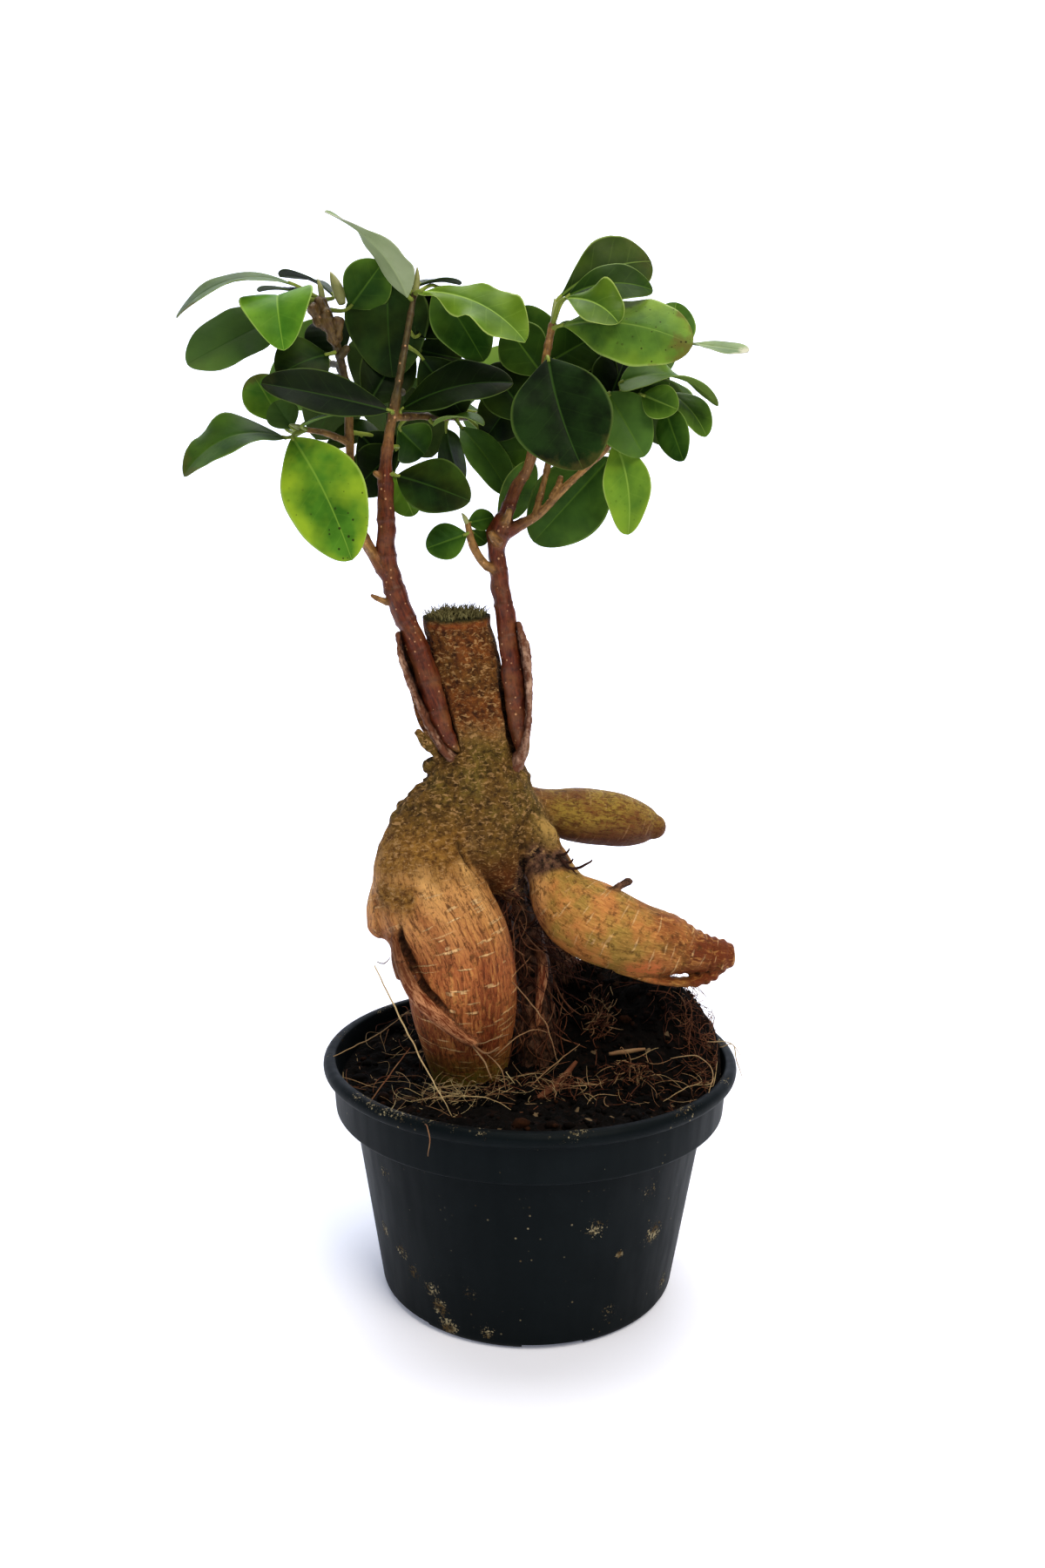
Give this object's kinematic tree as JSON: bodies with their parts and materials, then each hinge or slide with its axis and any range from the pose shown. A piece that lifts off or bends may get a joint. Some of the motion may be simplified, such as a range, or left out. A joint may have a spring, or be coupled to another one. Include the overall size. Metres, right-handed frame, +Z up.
{
  "type": "potted ginseng ficus bonsai",
  "caption": "Grafted ginseng ficus bonsai with swollen roots, a cut trunk and leafy stems, rooted in soil in a round black nursery pot that stands on its flat base.",
  "frame": {"origin": "centre of the pot's underside, on the surface the pot stands on", "axes": "+Z up, -Y towards the front as pictured, +X to the right"},
  "size_m": [0.153, 0.12, 0.2943],
  "materials": {
    "pot_plastic": "satin",
    "potting_mix": "matte",
    "root_bark": "satin",
    "stem_bark": "satin",
    "leaf_dark": "gloss",
    "leaf_mid": "gloss",
    "leaf_bright": "satin",
    "leaf_lime": "satin",
    "leaf_olive": "satin",
    "leaf_pale": "matte",
    "moss": "matte",
    "dry_fibre": "matte"
  },
  "bodies": {
    "root": {"pot": "pot_plastic", "soil": "potting_mix", "rootstock": "root_bark", "scion_left": "stem_bark", "scion_right": "stem_bark", "leaf_crown_tip": "leaf_pale", "leaf_crown_left": "leaf_mid", "leaf_crown_large": "leaf_dark", "leaf_crown_wavy": "leaf_lime", "leaf_crown_thin": "leaf_dark", "leaf_crown_right": "leaf_mid", "leaf_far_left_arch": "leaf_olive", "leaf_left_bright": "leaf_bright", "leaf_left_glossy": "leaf_dark", "leaf_left_inner": "leaf_dark", "leaf_left_dark": "leaf_dark", "leaf_left_back_lime": "leaf_bright", "leaf_left_ragged": "leaf_mid", "leaf_left_hanging": "leaf_bright", "leaf_left_sliver": "leaf_mid", "leaf_left_small": "leaf_dark", "leaf_left_droop": "leaf_dark", "leaf_left_top_edge": "leaf_dark", "leaf_left_top_small": "leaf_dark", "leaf_middle_dark": "leaf_dark", "leaf_middle_low": "leaf_dark", "leaf_middle_lime": "leaf_lime", "leaf_middle_inner": "leaf_mid", "leaf_middle_hanging": "leaf_dark", "leaf_middle_arch": "leaf_olive", "leaf_middle_droop": "leaf_mid", "leaf_middle_dull": "leaf_olive", "leaf_middle_back": "leaf_dark", "leaf_middle_fill": "leaf_dark", "leaf_right_large": "leaf_dark", "leaf_right_top": "leaf_olive", "leaf_right_top_inner": "leaf_mid", "leaf_right_lime": "leaf_lime", "leaf_right_spotted": "leaf_olive", "leaf_right_behind": "leaf_bright", "leaf_far_right": "leaf_pale", "leaf_right_twisted": "leaf_olive", "leaf_right_young": "leaf_olive", "leaf_right_olive": "leaf_olive", "leaf_right_tip": "leaf_mid", "leaf_right_dull": "leaf_mid", "leaf_right_yellow": "leaf_lime", "leaf_right_back": "leaf_mid", "leaf_right_edge": "leaf_pale", "leaf_low_right": "leaf_mid", "leaf_low_round": "leaf_mid", "leaf_low_small": "leaf_mid", "leaf_low_tiny": "leaf_mid", "leaf_fork": "leaf_olive", "leaf_rear_far_left": "leaf_mid", "leaf_rear_left": "leaf_dark", "leaf_rear_middle": "leaf_mid", "leaf_rear_low": "leaf_dark", "leaf_rear_right": "leaf_mid", "leaf_rear_far_right": "leaf_bright"}
  },
  "joints": []
}
